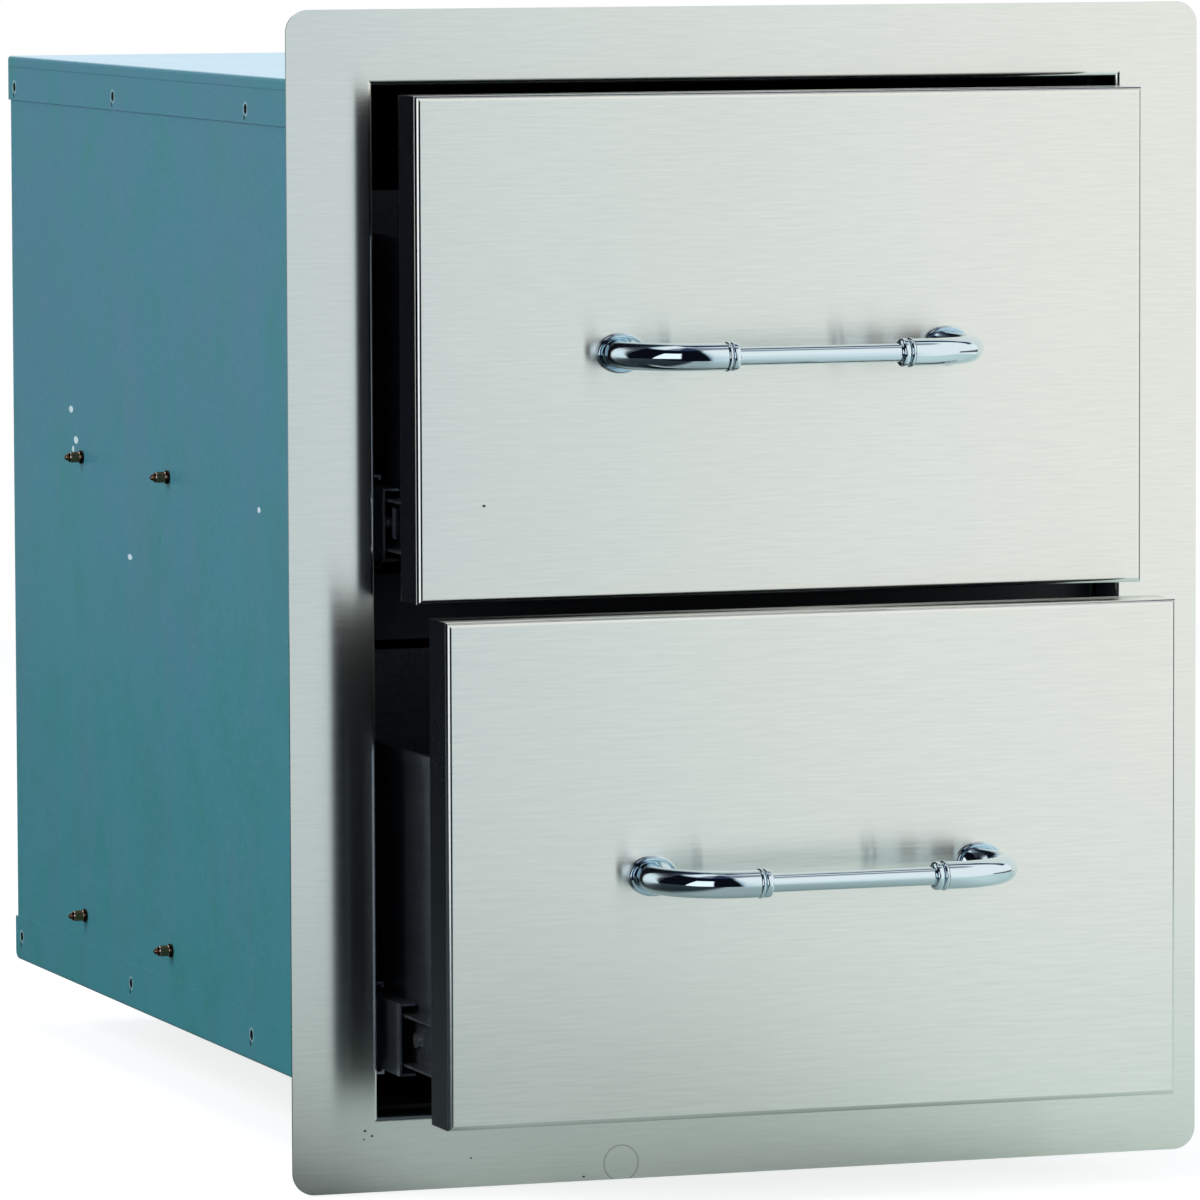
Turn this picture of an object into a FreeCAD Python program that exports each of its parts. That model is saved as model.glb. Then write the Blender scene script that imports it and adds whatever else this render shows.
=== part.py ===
# Built-in outdoor kitchen drawer unit: a face frame with a sheet steel housing behind it, and two
# drawers that run on three-member ball bearing slides. Millimetres, +X right, +Y into the cut-out,
# +Z up. The origin is the centre of the cut-out, on the back face of the face frame.
import FreeCAD, Part
import math
import os
import Sketcher
from FreeCAD import Placement, Rotation, Vector

doc = FreeCAD.newDocument("drawer_unit")

# Driving dimensions. Every other size follows from these.
SIZES = {
    # face frame
    "plate_width": 470.0,
    "plate_height": 571.0,
    "plate_corner": 11.0,
    "frame_sheet": 1.2,
    "frame_bend": 2.5,
    "opening_width": 383.0,
    "opening_height": 498.0,
    "return_depth": 45.0,
    # housing
    "housing_sheet": 1.0,
    "housing_setback": 30.0,
    "side_back": 662.0,
    "back_panel_gap": 2.0,
    "back_flange": 14.0,
    "lip_height": 24.0,
    "top_bend": 2.0,
    "panel_play": 1.0,
    "pan_rear_bend": 5.0,
    "rail_low": -20.0,
    "rail_height": 32.0,
    "rail_flange": 18.0,
    # plug welds between the lips and the side panels
    "weld_hole_diameter": 5.4,
    "weld_hole_play": 0.1,
    "weld_thickness": 0.8,
    "top_weld_inset": 17.0,
    "bottom_weld_inset": 13.5,
    "weld_front": 212.0,
    "weld_middle_top": 455.0,
    "weld_middle_bottom": 433.0,
    "weld_rear": 651.0,
    # drawer fronts
    "front_width": 372.0,
    "front_height": 242.0,
    "front_depth": 26.5,
    "front_sheet": 1.2,
    "front_bend": 2.5,
    "front_bottom_clearance": 5.0,
    "front_gap": 5.0,
    "liner_sheet": 1.0,
    "liner_play": 0.2,
    "upper_pull": 49.0,
    "lower_pull": 93.0,
    # drawer boxes
    "box_sheet": 1.0,
    "box_bottom": 20.0,
    "box_height": 153.0,
    "box_depth": 588.0,
    "box_hem": 6.0,
    "box_bend": 0.8,
    # slides
    "slide_setback": 27.0,
    "slide_length": 600.0,
    "slide_thickness": 12.7,
    "slide_sheet": 1.2,
    "slide_height": 34.5,
    "cabinet_member_height": 45.2,
    "middle_member_height": 35.2,
    "drawer_member_height": 25.2,
    "cabinet_flange": 9.8,
    "cabinet_lip": 2.6,
    "middle_member_start": 2.9,
    "middle_flange": 8.1,
    "drawer_flange": 7.7,
    "bumper_length": 6.0,
    "end_play": 0.3,
    # ball cages
    "ball_diameter": 3.2,
    "ball_hole_play": 0.15,
    "ball_count": 7.0,
    "cage_length": 280.0,
    "cage_strip": 0.6,
    "cage_width": 5.4,
    # blind rivets that hold the cabinet members
    "rivet_diameter": 4.8,
    "rivet_hole_play": 0.1,
    "rivet_head_diameter": 9.0,
    "rivet_crown_diameter": 6.5,
    "rivet_head_height": 1.0,
    "rivet_head_rim": 0.35,
    "rivet_tail_length": 8.2,
    "rivet_tail_diameter": 6.4,
    "rivet_neck_diameter": 5.9,
    "rivet_end_diameter": 4.2,
    "rivet_end_taper": 1.8,
    "rivet_collar_diameter": 8.2,
    "rivet_collar_height": 1.3,
    "rivet_collar_rim": 0.8,
    "mandrel_diameter": 3.4,
    "mandrel_tip_diameter": 2.0,
    "mandrel_length": 1.8,
    "mandrel_tip": 0.5,
    "rivet_front": 35.0,
    "rivet_middle": 331.5,
    "rivet_rear": 496.0,
    # screws of the drawer members
    "slide_screw_diameter": 4.0,
    "slide_screw_play": 0.15,
    "slide_screw_head": 7.0,
    "slide_screw_head_height": 1.8,
    "slide_screw_length": 4.0,
    "slide_screw_front": 43.0,
    "slide_screw_rear": 560.0,
    "slot_from_front": 63.0,
    "slot_length": 9.0,
    "slot_width": 3.2,
    "window_from_front": 23.0,
    "window_length": 13.0,
    "window_height": 15.0,
    # handles
    "handle_spacing": 176.0,
    "handle_drop": 3.0,
    "handle_stand_off": 48.0,
    "handle_bend": 33.0,
    "post_diameter": 13.2,
    "post_end": 47.6,
    "rosette_length": 24.6,
    "rosette_height": 19.4,
    "rosette_offset": 4.5,
    "rosette_thickness": 2.6,
    "rosette_edge": 1.0,
    "bar_diameter": 8.8,
    "bar_play": 0.1,
    "bar_insertion": 9.0,
    "collar_length": 7.2,
    "collar_diameter": 14.4,
    "collar_bead": 2.6,
    "collar_waist": 12.6,
    "collar_ring": 1.6,
    "collar_ring_diameter": 13.8,
    "collar_chamfer": 0.5,
    "handle_screw_diameter": 5.0,
    "handle_screw_play": 0.15,
    "handle_screw_head": 9.0,
    "handle_screw_head_height": 2.6,
    "handle_screw_grip": 12.0,
    "handle_screw_end_play": 1.0,
    "recess_width": 0.9,
    "recess_length": 3.6,
    "recess_depth": 1.0,
}

dims = doc.addObject("Spreadsheet::Sheet", "dims")
for row, (alias, size) in enumerate(SIZES.items(), start=1):
    dims.set(f"A{row}", alias)
    dims.set(f"B{row}", str(size))
    dims.setAlias(f"B{row}", alias)
doc.recompute()

# Formulas that more than one piece shares, written as expressions of the sheet
OPEN_X = "dims.opening_width / 2"
OPEN_Z = "dims.opening_height / 2"
PANEL_OUT = "(dims.opening_width / 2 - dims.housing_sheet)"
PANEL_IN = "(dims.opening_width / 2 - 2 * dims.housing_sheet)"
COVER_IN = "(dims.opening_height / 2 - dims.housing_sheet)"
PANEL_TOP = "(dims.opening_height / 2 - dims.top_bend - dims.panel_play)"
BACK_FACE = "(dims.side_back + dims.back_panel_gap)"
PULLS = {"upper": "dims.upper_pull", "lower": "dims.lower_pull"}
FRONT_BOTTOM = {
    "lower": "(dims.front_bottom_clearance - dims.opening_height / 2)",
    "upper": "(dims.front_bottom_clearance - dims.opening_height / 2"
             " + dims.front_height + dims.front_gap)",
}
BOX_HALF = "(dims.opening_width / 2 - 2 * dims.housing_sheet - dims.slide_thickness)"
FRONT_BACK = "dims.front_depth"
MOVING_LENGTH = "(dims.slide_length - dims.bumper_length - dims.end_play)"
RIVET_PLACES = ("dims.rivet_front", "dims.rivet_middle", "dims.rivet_rear")
SCREW_PLACES = ("dims.slide_screw_front", "dims.rivet_middle", "dims.slide_screw_rear")
HANDLE_Z = "(dims.front_height / 2 - dims.handle_drop)"
CAGE_SHARES = {"outer": 0.25, "inner": 0.75}
THROUGH = "2 * dims.opening_width"
SIDES = {"left": -1, "right": 1}

nodes = {}


def keep(node, label):
    """Give a finished sub-part its label and list it for export."""
    node.Label = label
    nodes[label] = node
    return node


def bind(item, prop, formula):
    item.setExpression(prop, formula)


def place(item, across="0", along="0", up="0", turned=False):
    """Set where an object stands. A turned object is swung half a turn about the Y axis."""
    angle = 180 if turned else 0
    item.Placement = Placement(Vector(), Rotation(Vector(0, 1, 0), angle))
    for axis, formula in zip("xyz", (across, along, up)):
        bind(item, f"Placement.Base.{axis}", formula)
    return item


def new_body(name):
    return doc.addObject("PartDesign::Body", name)


def sketch_on(body, name, role, lift=None):
    """A sketch on one of the body's own origin planes, lifted along that plane's normal."""
    sketch = body.newObject("Sketcher::SketchObject", name)
    plane = next(item for item in body.Origin.OriginFeatures if item.Role == role)
    sketch.AttachmentSupport = [(plane, "")]
    sketch.MapMode = "FlatFace"
    if lift:
        bind(sketch, "AttachmentOffset.Base.z", lift)
    return sketch


def pin(sketch, kind, geometry, point, formula):
    """Hold one coordinate of a sketch point to a formula, measured from the sketch's origin."""
    value = float(sketch.evalExpression(formula))
    index = sketch.addConstraint(Sketcher.Constraint(kind, -1, 1, geometry, point, value))
    bind(sketch, f"Constraints[{index}]", formula)


def polygon(sketch, corners):
    """A closed outline with straight sides, given as pairs of formulas."""
    spots = [Vector(float(sketch.evalExpression(a)), float(sketch.evalExpression(b)), 0)
             for a, b in corners]
    following = spots[1:] + spots[:1]
    first = sketch.GeometryCount
    for start, end in zip(spots, following):
        sketch.addGeometry(Part.LineSegment(start, end))
    count = len(spots)
    for side in range(count):
        after = first + (side + 1) % count
        sketch.addConstraint(Sketcher.Constraint("Coincident", first + side, 2, after, 1))
    for side, (across, up) in enumerate(corners):
        pin(sketch, "DistanceX", first + side, 1, across)
        pin(sketch, "DistanceY", first + side, 1, up)


def rectangle(sketch, left, right, low, high):
    polygon(sketch, ((left, low), (right, low), (right, high), (left, high)))


def circle(sketch, across, up, diameter):
    centre = Vector(float(sketch.evalExpression(across)), float(sketch.evalExpression(up)), 0)
    size = float(sketch.evalExpression(diameter))
    index = sketch.addGeometry(Part.Circle(centre, Vector(0, 0, 1), size / 2))
    pin(sketch, "DistanceX", index, 3, across)
    pin(sketch, "DistanceY", index, 3, up)
    rule = sketch.addConstraint(Sketcher.Constraint("Diameter", index, size))
    bind(sketch, f"Constraints[{rule}]", diameter)


def upright_slot(sketch, across, up, length, width):
    """A slot with round ends, long in the sketch's second direction."""
    reach = f"({length} - {width}) / 2"
    middle = Vector(float(sketch.evalExpression(across)), float(sketch.evalExpression(up)), 0)
    half = float(sketch.evalExpression(f"{width} / 2"))
    rise = Vector(0, float(sketch.evalExpression(reach)), 0)
    side = Vector(half, 0, 0)
    top = Part.ArcOfCircle(Part.Circle(middle + rise, Vector(0, 0, 1), half), 0, math.pi)
    bottom = Part.ArcOfCircle(Part.Circle(middle - rise, Vector(0, 0, 1), half), math.pi, 2 * math.pi)
    first = sketch.addGeometry(top)
    sketch.addGeometry(Part.LineSegment(middle + rise - side, middle - rise - side))
    sketch.addGeometry(bottom)
    sketch.addGeometry(Part.LineSegment(middle - rise + side, middle + rise + side))
    for piece in range(4):
        after = first + (piece + 1) % 4
        sketch.addConstraint(Sketcher.Constraint("Tangent", first + piece, 2, after, 1))
    for arc, sign in ((first, "+"), (first + 2, "-")):
        pin(sketch, "DistanceX", arc, 3, across)
        pin(sketch, "DistanceY", arc, 3, f"{up} {sign} {reach}")
    rule = sketch.addConstraint(Sketcher.Constraint("Radius", first, half))
    bind(sketch, f"Constraints[{rule}]", f"{width} / 2")


def pad(body, sketch, length, reverse=False, middle=False):
    feature = body.newObject("PartDesign::Pad", f"{sketch.Name}_pad")
    feature.Profile = sketch
    bind(feature, "Length", length)
    feature.Reversed = reverse
    if middle:
        feature.SideType = "Symmetric"
    return feature


def pocket(body, sketch, length, reverse=False, middle=False):
    """Cut a sketch out of its body, and make sure that it met the solid."""
    doc.recompute()
    before = body.Tip.Shape.Volume
    feature = body.newObject("PartDesign::Pocket", f"{sketch.Name}_pocket")
    feature.Profile = sketch
    bind(feature, "Length", length)
    feature.Reversed = reverse
    if middle:
        feature.SideType = "Symmetric"
    doc.recompute()
    if feature.Shape.Volume >= before:
        raise RuntimeError(f"{feature.Name} cuts nothing")
    return feature


def punch(body, sketch):
    """Cut a sketch right through its body, both ways from its plane."""
    return pocket(body, sketch, THROUGH, middle=True)


def edges_where(feature, test):
    """Names of the edges whose bounding box passes a test."""
    doc.recompute()
    found = [f"Edge{number}" for number, edge in enumerate(feature.Shape.Edges, start=1)
             if test(edge.BoundBox)]
    if not found:
        raise RuntimeError(f"{feature.Name} has no such edge")
    return found


def round_edges(body, feature, test, radius):
    names = edges_where(feature, test)
    fillet = body.newObject("PartDesign::Fillet", f"{feature.Name}_round")
    fillet.Base = (feature, names)
    bind(fillet, "Radius", radius)
    doc.recompute()
    return fillet


def value(formula):
    return float(dims.evalExpression(formula))


def near(measured, wanted):
    return abs(measured - wanted) < 0.01


def hollow(body, feature, faces_test, sheet):
    """Turn a block into a tray of one sheet thickness, open at the faces that pass the test."""
    doc.recompute()
    names = [f"Face{number}" for number, face in enumerate(feature.Shape.Faces, start=1)
             if faces_test(face.BoundBox)]
    shell = body.newObject("PartDesign::Thickness", f"{feature.Name}_shell")
    shell.Base = (feature, names)
    bind(shell, "Value", sheet)
    shell.Reversed = True
    doc.recompute()
    return shell


def primitive(kind, name, **formulas):
    item = doc.addObject(f"Part::{kind}", name)
    for prop, formula in formulas.items():
        bind(item, prop, formula)
    return item


def joined(name, pieces):
    item = doc.addObject("Part::MultiFuse", name)
    item.Shapes = pieces
    return item


def less(name, base, tool):
    item = doc.addObject("Part::Cut", name)
    item.Base = base
    item.Tool = tool
    return item


def group(label, pieces):
    """Separate solids that share one node."""
    item = doc.addObject("Part::Compound", label)
    item.Links = pieces
    return keep(item, label)


def copy_of(master, name, across, along, up, turned=False):
    link = doc.addObject("App::Link", name)
    link.LinkedObject = master
    return place(link, across, along, up, turned)


# Face frame: a flat plate with a return folded back all round the opening
def face_frame():
    body = new_body("face_frame")
    outline = sketch_on(body, "plate_outline", "XZ_Plane")
    rectangle(outline, "-dims.plate_width / 2", "dims.plate_width / 2",
              "-dims.plate_height / 2", "dims.plate_height / 2")
    plate = pad(body, outline, "dims.frame_sheet")
    far_x = value("dims.plate_width / 2")
    rounded = round_edges(
        body, plate, lambda box: near(box.XLength, 0) and near(box.ZLength, 0)
        and near(abs(box.XMin), far_x), "dims.plate_corner")
    collar = sketch_on(body, "return_outline", "XZ_Plane")
    rectangle(collar, f"-({OPEN_X} + dims.frame_sheet)", f"{OPEN_X} + dims.frame_sheet",
              f"-({OPEN_Z} + dims.frame_sheet)", f"{OPEN_Z} + dims.frame_sheet")
    returns = pad(body, collar, "dims.return_depth - dims.frame_sheet", reverse=True)
    hole = sketch_on(body, "opening_outline", "XZ_Plane")
    rectangle(hole, f"-{OPEN_X}", OPEN_X, f"-{OPEN_Z}", OPEN_Z)
    opened = punch(body, hole)
    half_x, half_z = value(OPEN_X), value(OPEN_Z)
    front = -value("dims.frame_sheet")

    def on_rim(box):
        across = near(abs(box.XMin), half_x) and near(box.XLength, 0) and box.ZLength > 1
        upright = near(abs(box.ZMin), half_z) and near(box.ZLength, 0) and box.XLength > 1
        return near(box.YMin, front) and near(box.YLength, 0) and (across or upright)

    rim = round_edges(body, opened, on_rim, "dims.frame_bend")
    sheet = value("dims.frame_sheet")

    def behind_rim(box):
        across = near(abs(box.XMin), half_x + sheet) and near(box.XLength, 0) and box.ZLength > 1
        upright = near(abs(box.ZMin), half_z + sheet) and near(box.ZLength, 0) and box.XLength > 1
        return near(box.YMin, 0) and near(box.YLength, 0) and (across or upright)

    round_edges(body, rim, behind_rim, "dims.frame_bend - dims.frame_sheet")
    return keep(body, "face_frame")


# Side panels, with a hole for every slide rivet
def side_panel(side, sign):
    body = new_body(f"{side}_side_panel")
    outline = sketch_on(body, f"{side}_panel_outline", "YZ_Plane")
    rectangle(outline, "dims.housing_setback", "dims.side_back", f"-{PANEL_TOP}", PANEL_TOP)
    pad(body, outline, "dims.housing_sheet")
    holes = sketch_on(body, f"{side}_panel_holes", "YZ_Plane")
    for level in FRONT_BOTTOM.values():
        for rivet in RIVET_PLACES:
            circle(holes, f"dims.slide_setback + {rivet}", f"{level} + dims.slide_height",
                   "dims.rivet_diameter + 2 * dims.rivet_hole_play")
    punch(body, holes)
    across = f"-{PANEL_OUT}" if sign < 0 else PANEL_IN
    place(body, across)
    return keep(body, f"{side}_side_panel")


# Top cover and bottom pan: trays whose side lips lap over the side panels
def cover(label, down, rear_bend, weld_inset, weld_middle):
    """A tray closed at the left, right and rear. The top cover's walls hang, the pan's stand."""
    flat = OPEN_Z if down else f"-{OPEN_Z}"
    rim = f"({OPEN_Z} - dims.lip_height)" if down else f"(dims.lip_height - {OPEN_Z})"
    sheet = "dims.housing_sheet"
    inward = "-" if down else "+"
    shells = []
    for kind, inset in (("outer", "0"), ("inner", sheet)):
        body = new_body(f"{label}_{kind}")
        outline = sketch_on(body, f"{label}_{kind}_outline", "YZ_Plane")
        start = f"dims.housing_setback - {inset}"
        rear = f"{BACK_FACE} + {sheet} - {inset}"
        level, open_level = f"{flat} {inward} {inset}", f"{rim} {inward} {inset}"
        low, high = (open_level, level) if down else (level, open_level)
        rectangle(outline, start, rear, low, high)
        block = pad(body, outline, f"2 * ({OPEN_X} - {inset})", middle=True)
        flat_at, rear_at, side_at = value(level), value(rear), value(f"{OPEN_X} - {inset}")
        bent = round_edges(
            body, block, lambda box: near(box.ZMin, flat_at) and near(box.ZLength, 0)
            and near(box.YMin, rear_at) and near(box.YLength, 0), f"{rear_bend} - {inset}")
        round_edges(
            body, bent, lambda box: near(box.ZMin, flat_at) and near(box.ZLength, 0)
            and near(abs(box.XMin), side_at) and near(box.XLength, 0), f"dims.top_bend - {inset}")
        shells.append(body)
    tray = less(f"{label}_tray", shells[0], shells[1])
    puncher = new_body(f"{label}_puncher")
    holes = sketch_on(puncher, f"{label}_weld_holes", "YZ_Plane")
    hole_level = f"{OPEN_Z} - {weld_inset}" if down else f"{weld_inset} - {OPEN_Z}"
    for along in ("dims.weld_front", weld_middle, "dims.weld_rear"):
        circle(holes, along, hole_level, "dims.weld_hole_diameter")
    pad(puncher, holes, THROUGH, middle=True)
    return keep(less(f"{label}_punched", tray, puncher), label)


# Back panel: a shallow tray that sits between the covers
def back_panel():
    body = new_body("back_panel")
    outline = sketch_on(body, "back_outline", "XZ_Plane", f"-{BACK_FACE}")
    rectangle(outline, f"-{PANEL_IN}", PANEL_IN, f"-{COVER_IN}", PANEL_TOP)
    block = pad(body, outline, "dims.back_flange")
    foot, rear = -value(COVER_IN), value(BACK_FACE)
    bent = round_edges(
        body, block, lambda box: near(box.ZMin, foot) and near(box.ZLength, 0)
        and near(box.YMin, rear) and near(box.YLength, 0), "dims.pan_rear_bend - dims.housing_sheet")
    front = value(f"{BACK_FACE} - dims.back_flange")
    hollow(body, bent, lambda box: near(box.YMin, front) and near(box.YLength, 0),
           "dims.housing_sheet")
    return keep(body, "back_panel")


# Centre rail: a channel across the housing, just behind the gap between the drawers
def centre_rail():
    body = new_body("centre_rail")
    sheet = "dims.housing_sheet"
    top = "(dims.rail_low + dims.rail_height)"
    face = "dims.slide_setback"
    rear = "(dims.slide_setback + dims.rail_flange)"
    section = sketch_on(body, "rail_section", "YZ_Plane")
    polygon(section, (
        (face, "dims.rail_low"), (rear, "dims.rail_low"), (rear, f"dims.rail_low + {sheet}"),
        (f"{face} + {sheet}", f"dims.rail_low + {sheet}"), (f"{face} + {sheet}", f"{top} - {sheet}"),
        (rear, f"{top} - {sheet}"), (rear, top), (face, top)))
    pad(body, section, f"2 * {PANEL_IN}", middle=True)
    return keep(body, "centre_rail")


# Plug welds: one nugget in every round hole of the lips
def plug_welds():
    nugget = new_body("weld_nugget")
    outline = sketch_on(nugget, "weld_outline", "YZ_Plane")
    circle(outline, "0", "0", "dims.weld_hole_diameter - 2 * dims.weld_hole_play")
    pad(nugget, outline, "dims.weld_thickness")
    rows = (
        (f"{OPEN_Z} - dims.top_weld_inset", "dims.weld_middle_top"),
        (f"dims.bottom_weld_inset - {OPEN_Z}", "dims.weld_middle_bottom"),
    )
    welds = []
    for level, middle in rows:
        for along in ("dims.weld_front", middle, "dims.weld_rear"):
            number = len(welds)
            welds.append(copy_of(nugget, f"weld_{number}", f"-{PANEL_OUT}", along, level, True))
            welds.append(copy_of(nugget, f"weld_{number + 1}", PANEL_OUT, along, level))
    return group("plug_welds", welds)


# Slides. Each member is drawn for the left side: X counts from the panel, Z from the middle.
def channel(body, name, web, depth, height, lip=None):
    """A C-shaped member. The web lies between two X values and both flanges reach to depth."""
    near_x, far_x = web
    sheet = "dims.slide_sheet"
    half = f"{height} / 2"
    section = sketch_on(body, name, "XZ_Plane")
    upper = [(depth, half), (depth, f"{half} - {sheet}")]
    if lip:
        upper = [(depth, half), (depth, f"{half} - {lip}"), (f"{depth} - {sheet}", f"{half} - {lip}"),
                 (f"{depth} - {sheet}", f"{half} - {sheet}")]
    lower = [(across, f"-({up})") for across, up in reversed(upper)]
    corners = [(near_x, half)] + upper + [(far_x, f"{half} - {sheet}"), (far_x, f"{sheet} - {half}")]
    polygon(section, corners + lower + [(near_x, f"-{half}")])
    return section


def stand_slide(item, side, level, along):
    wall = f"-{PANEL_IN}" if side == "left" else PANEL_IN
    return place(item, wall, along, f"{level} + dims.slide_height", turned=side == "right")


def cabinet_member(drawer, side):
    label = f"{drawer}_{side}_cabinet_member"
    body = new_body(label)
    section = channel(body, f"{label}_section", ("0", "dims.slide_sheet"), "dims.cabinet_flange",
                      "dims.cabinet_member_height", lip="dims.cabinet_lip")
    pad(body, section, "dims.slide_length", reverse=True)
    holes = sketch_on(body, f"{label}_holes", "YZ_Plane")
    for rivet in RIVET_PLACES:
        circle(holes, rivet, "0", "dims.rivet_diameter + 2 * dims.rivet_hole_play")
    punch(body, holes)
    stand_slide(body, side, FRONT_BOTTOM[drawer], "dims.slide_setback")
    return keep(body, label)


def middle_member(drawer, side):
    label = f"{drawer}_{side}_middle_member"
    body = new_body(label)
    start = "dims.middle_member_start"
    section = channel(body, f"{label}_section", (start, f"({start} + dims.slide_sheet)"),
                      f"({start} + dims.middle_flange)", "dims.middle_member_height")
    pad(body, section, MOVING_LENGTH, reverse=True)
    stand_slide(body, side, FRONT_BOTTOM[drawer], f"dims.slide_setback - {PULLS[drawer]} / 2")
    return keep(body, label)


def drawer_member(drawer, side):
    label = f"{drawer}_{side}_drawer_member"
    body = new_body(label)
    reach = "(dims.slide_thickness - dims.drawer_flange)"
    section = channel(body, f"{label}_section",
                      ("dims.slide_thickness", "(dims.slide_thickness - dims.slide_sheet)"),
                      reach, "dims.drawer_member_height")
    pad(body, section, MOVING_LENGTH, reverse=True)
    cuts = sketch_on(body, f"{label}_cuts", "YZ_Plane", "dims.slide_thickness")
    for screw in SCREW_PLACES:
        circle(cuts, screw, "0", "dims.slide_screw_diameter + 2 * dims.slide_screw_play")
    upright_slot(cuts, "dims.slot_from_front", "0", "dims.slot_length", "dims.slot_width")
    window_start = "dims.window_from_front"
    rectangle(cuts, window_start, f"{window_start} + dims.window_length",
              "-dims.window_height / 2", "dims.window_height / 2")
    punch(body, cuts)
    stand_slide(body, side, FRONT_BOTTOM[drawer], f"dims.slide_setback - {PULLS[drawer]}")
    return keep(body, label)


def ball_cage(drawer, side, which, outer_height, inner_height, start):
    """Two punched strips that hold the balls between two members' flanges."""
    label = f"{drawer}_{side}_{which}_ball_cage"
    track = f"({outer_height} / 2 - dims.slide_sheet + {inner_height} / 2) / 2"
    lane = f"({start} + dims.cage_width / 2)"
    first = f"(({MOVING_LENGTH} - dims.cage_length) / 2)"
    count = int(value("dims.ball_count"))
    pieces = []
    for row, sign in (("top", ""), ("foot", "-")):
        strip = new_body(f"{label}_{row}_strip")
        outline = sketch_on(strip, f"{label}_{row}_outline", "XY_Plane", f"{sign}{track}")
        rectangle(outline, start, f"{start} + dims.cage_width", first, f"{first} + dims.cage_length")
        pad(strip, outline, "dims.cage_strip", middle=True)
        holes = sketch_on(strip, f"{label}_{row}_holes", "XY_Plane", f"{sign}{track}")
        for ball in range(count):
            along = f"{first} + dims.cage_length * {ball + 0.5} / {count}"
            circle(holes, lane, along, "dims.ball_diameter + 2 * dims.ball_hole_play")
            sphere = primitive("Sphere", f"{label}_{row}_ball_{ball}", Radius="dims.ball_diameter / 2")
            pieces.append(place(sphere, lane, along, f"{sign}{track}"))
        punch(strip, holes)
        pieces.append(strip)
    cage = group(label, pieces)
    stand_slide(cage, side, FRONT_BOTTOM[drawer],
                f"dims.slide_setback - {CAGE_SHARES[which]} * {PULLS[drawer]}")
    return cage


# Rubber bumpers at the rear end of each cabinet member
def slide_bumpers():
    pieces = []
    depth = "(dims.cabinet_flange - 2 * dims.slide_sheet - dims.end_play)"
    height = "(dims.cabinet_member_height - 2 * dims.slide_sheet - 2 * dims.end_play)"
    for drawer, level in FRONT_BOTTOM.items():
        for side, sign in SIDES.items():
            block = primitive("Box", f"{drawer}_{side}_bumper", Length=depth,
                              Width="dims.bumper_length", Height=height)
            wall = f"{sign} * ({PANEL_IN} - dims.slide_sheet)"
            across = wall if sign < 0 else f"{wall} - {depth}"
            along = "dims.slide_setback + dims.slide_length - dims.bumper_length"
            pieces.append(place(block, across, along, f"{level} + dims.slide_height - {height} / 2"))
    return group("slide_bumpers", pieces)


# Blind rivets: a low head in the slide, a shank, and a swelled tail outside the panel
def slide_rivets():
    body = new_body("rivet")
    seat = "dims.slide_sheet"
    outside = "(-dims.housing_sheet)"
    collar_end = f"({outside} - dims.rivet_collar_height)"
    tail_end = f"({outside} - dims.rivet_tail_length)"
    tip = f"({tail_end} - dims.mandrel_length)"
    swell = f"({tail_end} + dims.rivet_end_taper)"
    profile = sketch_on(body, "rivet_profile", "XY_Plane")
    polygon(profile, (
        (f"{seat} + dims.rivet_head_height", "0"),
        (f"{seat} + dims.rivet_head_height", "dims.rivet_crown_diameter / 2"),
        (f"{seat} + dims.rivet_head_rim", "dims.rivet_head_diameter / 2"),
        (seat, "dims.rivet_head_diameter / 2"),
        (seat, "dims.rivet_diameter / 2"),
        (outside, "dims.rivet_diameter / 2"),
        (outside, "dims.rivet_collar_diameter / 2"),
        (f"{outside} - dims.rivet_collar_rim", "dims.rivet_collar_diameter / 2"),
        (collar_end, "dims.rivet_neck_diameter / 2"),
        (swell, "dims.rivet_tail_diameter / 2"),
        (tail_end, "dims.rivet_end_diameter / 2"),
        (tail_end, "dims.mandrel_diameter / 2"),
        (f"{tip} + dims.mandrel_tip", "dims.mandrel_diameter / 2"),
        (tip, "dims.mandrel_tip_diameter / 2"),
        (tip, "0")))
    turned = body.newObject("PartDesign::Revolution", "rivet_turned")
    turned.Profile = profile
    turned.ReferenceAxis = (profile, ["H_Axis"])
    turned.Angle = 360
    doc.recompute()
    rivets = []
    for drawer, level in FRONT_BOTTOM.items():
        for side in SIDES:
            for number, rivet in enumerate(RIVET_PLACES):
                link = copy_of(body, f"{drawer}_{side}_rivet_{number}", "0", "0", "0")
                rivets.append(stand_slide(link, side, level, f"dims.slide_setback + {rivet}"))
    return group("slide_rivets", rivets)


def cross_recess(name, top):
    """Two crossed slots sunk into a screw head. The screw points along +X and ends at top."""
    bars = []
    for turn in (0, 90):
        bar = primitive("Box", f"{name}_{turn}", Length="2 * dims.recess_depth",
                        Width="dims.recess_width", Height="dims.recess_length")
        shift = Placement(Vector(0, 0, 0), Rotation(Vector(1, 0, 0), turn))
        bar.Placement = shift
        bind(bar, "Placement.Base.x", f"{top} - dims.recess_depth")
        thin, long = "dims.recess_width / 2", "dims.recess_length / 2"
        bind(bar, "Placement.Base.y", f"-{thin}" if turn == 0 else long)
        bind(bar, "Placement.Base.z", f"-{long}" if turn == 0 else f"-{thin}")
        bars.append(bar)
    return joined(name, bars)


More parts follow.
